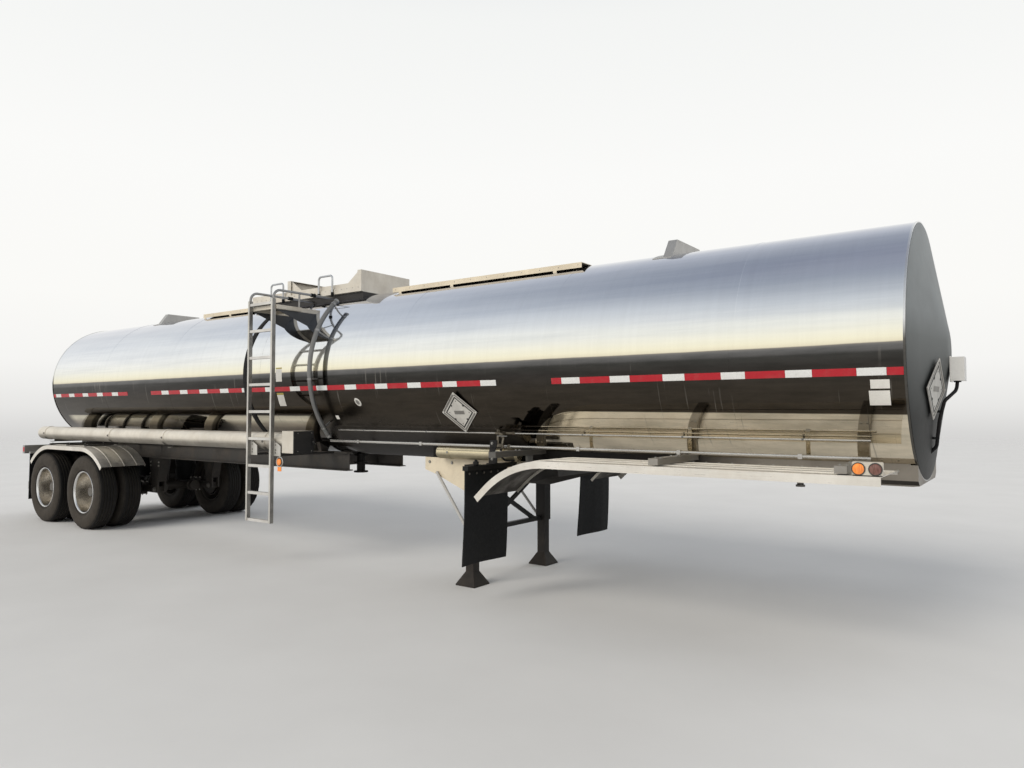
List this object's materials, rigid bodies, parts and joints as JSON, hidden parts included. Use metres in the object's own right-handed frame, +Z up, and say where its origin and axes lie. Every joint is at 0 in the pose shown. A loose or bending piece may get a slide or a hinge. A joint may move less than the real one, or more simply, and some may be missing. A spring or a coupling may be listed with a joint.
{
  "type": "fuel tanker trailer",
  "caption": "Round polished tank semi-trailer on tandem twin-wheel axles, with coupler, landing legs, side ladder, hose tube, top spill box with manhole, fenders and mudflaps.",
  "frame": {"origin": "on the ground under the middle of the whole trailer", "axes": "+X forward towards the towing vehicle, +Y the trailer's left, +Z up"},
  "size_m": [12.8, 2.59, 3.298],
  "materials": {
    "jacket": "polished stainless jacket",
    "head": "matte",
    "black_band": "matte",
    "sheet": "satin",
    "steel": "satin",
    "tubing": "satin",
    "black_pipe": "satin",
    "cast": "greased",
    "black_paint": "dusty gloss",
    "fender": "satin",
    "flap": "matte",
    "lamp_box": "satin",
    "rubber": "matte",
    "red_lens": "gloss",
    "amber_lens": "gloss",
    "white_box": "satin",
    "tyre": "dusty",
    "rim": "polished"
  },
  "bodies": {
    "trailer": {"tank_barrel": "jacket", "front_head": "head", "rear_head": "head", "ring_band": "black_band", "spill_box": "sheet", "grab_hoops": "tubing", "walkways": "sheet", "rollover_guards": "sheet", "manhole_collar": "steel", "top_valves": "steel", "ladder": "tubing", "ladder_treads": "tubing", "step_platform": "sheet", "handrails": "tubing", "hose_tube": "sheet", "hose_brackets": "sheet", "air_line": "tubing", "overflow_pipe": "black_pipe", "coupler_frame": "steel", "kingpin": "cast", "landing_frame": "sheet", "landing_legs": "black_paint", "landing_braces": "black_paint", "air_reservoir": "steel", "front_fenders": "fender", "fender_arms": "sheet", "front_mudflaps": "flap", "side_lamps": "lamp_box", "side_markers": "amber_lens", "rear_frame": "steel", "frame_saddles": "steel", "suspension_hangers": "black_paint", "trailing_arms": "black_paint", "air_springs": "rubber", "axle_front": "black_paint", "axle_rear": "black_paint", "rear_fenders": "fender", "rear_fender_arms": "sheet", "rear_mudflaps": "flap", "rear_bumper": "steel", "tail_lamps": "red_lens", "placard_holders": "sheet", "plug_box": "white_box", "outlet_valve": "steel"},
    "wheel_front_right": {"tyres_front_right": "tyre", "rims_front_right": "rim"},
    "wheel_front_left": {"tyres_front_left": "tyre", "rims_front_left": "rim"},
    "wheel_rear_right": {"tyres_rear_right": "tyre", "rims_rear_right": "rim"},
    "wheel_rear_left": {"tyres_rear_left": "tyre", "rims_rear_left": "rim"},
    "manhole_lid": {"manhole_lid": "steel"},
    "hose_tube_door": {"hose_tube_door": "sheet"}
  },
  "joints": [
    {"name": "wheel_front_right_spin", "type": "hinge", "parent": "trailer", "child": "wheel_front_right", "pos_m": [-4.2125, -0.984, 0.52], "axis": [0, 1, 0], "continuous": true},
    {"name": "wheel_front_left_spin", "type": "hinge", "parent": "trailer", "child": "wheel_front_left", "pos_m": [-4.2125, 0.984, 0.52], "axis": [0, 1, 0], "continuous": true},
    {"name": "wheel_rear_right_spin", "type": "hinge", "parent": "trailer", "child": "wheel_rear_right", "pos_m": [-5.4575, -0.984, 0.52], "axis": [0, 1, 0], "continuous": true},
    {"name": "wheel_rear_left_spin", "type": "hinge", "parent": "trailer", "child": "wheel_rear_left", "pos_m": [-5.4575, 0.984, 0.52], "axis": [0, 1, 0], "continuous": true},
    {"name": "manhole_lid_hinge", "type": "hinge", "parent": "trailer", "child": "manhole_lid", "pos_m": [-0.2, 0.29, 3.116], "axis": [-1, 0, 0], "range_deg": [0, 100]},
    {"name": "hose_tube_door_hinge", "type": "hinge", "parent": "trailer", "child": "hose_tube_door", "pos_m": [0.428, -1.225, 1.336], "axis": [0, 0, -1], "range_deg": [0, 110]}
  ]
}
